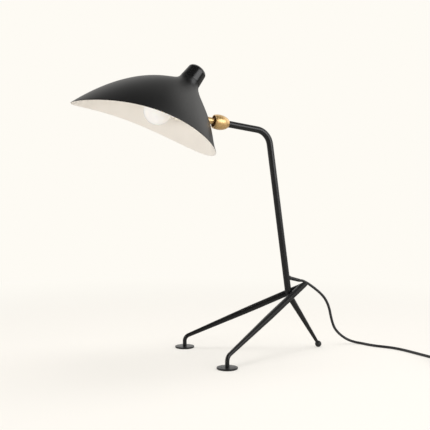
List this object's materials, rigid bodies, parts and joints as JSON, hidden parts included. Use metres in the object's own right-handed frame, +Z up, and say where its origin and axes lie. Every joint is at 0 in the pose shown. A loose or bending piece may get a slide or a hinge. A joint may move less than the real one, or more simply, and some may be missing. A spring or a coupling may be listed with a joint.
{
  "type": "tripod table lamp",
  "caption": "Tripod table lamp: bent tube stem on two front legs and a rear leg, with a pressed asymmetric shade on a ball swivel and an opal globe bulb.",
  "frame": {"origin": "middle of the object's footprint without the free cord, on the surface it stands on", "axes": "+Z up, -X the way the shade points, +Y the lamp's far side, with the free cord lying on the -Y side"},
  "size_m": [0.7132, 0.4029, 0.5191],
  "materials": {
    "tube_black": "satin",
    "shade_black": "satin",
    "knob_black": "gloss",
    "ball_foot_black": "satin",
    "felt": "matte",
    "steel": "brushed",
    "brass": "polished",
    "nylon": "matte",
    "lead_white": "matte",
    "holder_cream": "matte",
    "opal_glass": "satin",
    "cap_nickel": "satin",
    "cord_black": "satin",
    "switch_black": "satin",
    "grommet_black": "matte"
  },
  "bodies": {
    "stand": {"stem_tube": "tube_black", "front_leg_left": "tube_black", "front_leg_right": "tube_black", "rear_leg": "tube_black", "rear_ball_foot": "ball_foot_black", "foot_disc_left": "tube_black", "foot_disc_right": "tube_black", "foot_pad_left": "felt", "foot_pad_right": "felt", "foot_screw_left": "steel", "foot_screw_right": "steel", "cord_grommet": "grommet_black", "lower_lead": "lead_white", "swivel_cup": "brass", "swivel_retainer": "brass", "swivel_seat": "steel", "swivel_spring": "steel", "power_cord": "cord_black", "switch_case_top": "switch_black", "switch_case_bottom": "switch_black", "switch_screws": "steel", "switch_lead": "cord_black", "cord_coil": "cord_black", "coil_tie": "switch_black", "plug_body": "cord_black", "plug_blades": "brass"},
    "liner": {"friction_liner": "nylon"},
    "ball_stud": {"ball_stud": "brass", "upper_lead": "lead_white"},
    "head": {"shade": "shade_black", "shade_collar": "brass", "inner_washer": "steel", "neck_nut": "steel", "shade_knob": "knob_black", "knob_screw": "steel", "holder_body": "holder_cream", "holder_shell": "brass", "holder_contact": "brass", "bulb_globe": "opal_glass", "bulb_cap": "cap_nickel", "bulb_contact": "cap_nickel"},
    "rocker": {"switch_rocker": "switch_black"}
  },
  "joints": [
    {"name": "shade_nod", "type": "hinge", "parent": "stand", "child": "liner", "pos_m": [0.02322, 0, 0.41959], "axis": [0, 1, 0], "range_deg": [-20, 22]},
    {"name": "shade_turn", "type": "hinge", "parent": "liner", "child": "ball_stud", "pos_m": [0.02322, 0, 0.41959], "axis": [0, 0, 1], "range_deg": [-20, 20]},
    {"name": "shade_roll", "type": "hinge", "parent": "ball_stud", "child": "head", "pos_m": [0.02322, 0, 0.41959], "axis": [-0.989, 0, 0.1478], "range_deg": [-45, 45]},
    {"name": "switch_tip", "type": "hinge", "parent": "stand", "child": "rocker", "pos_m": [0.36593, -0.226, 0.0124], "axis": [1, 0, 0], "range_deg": [0, 18]}
  ]
}
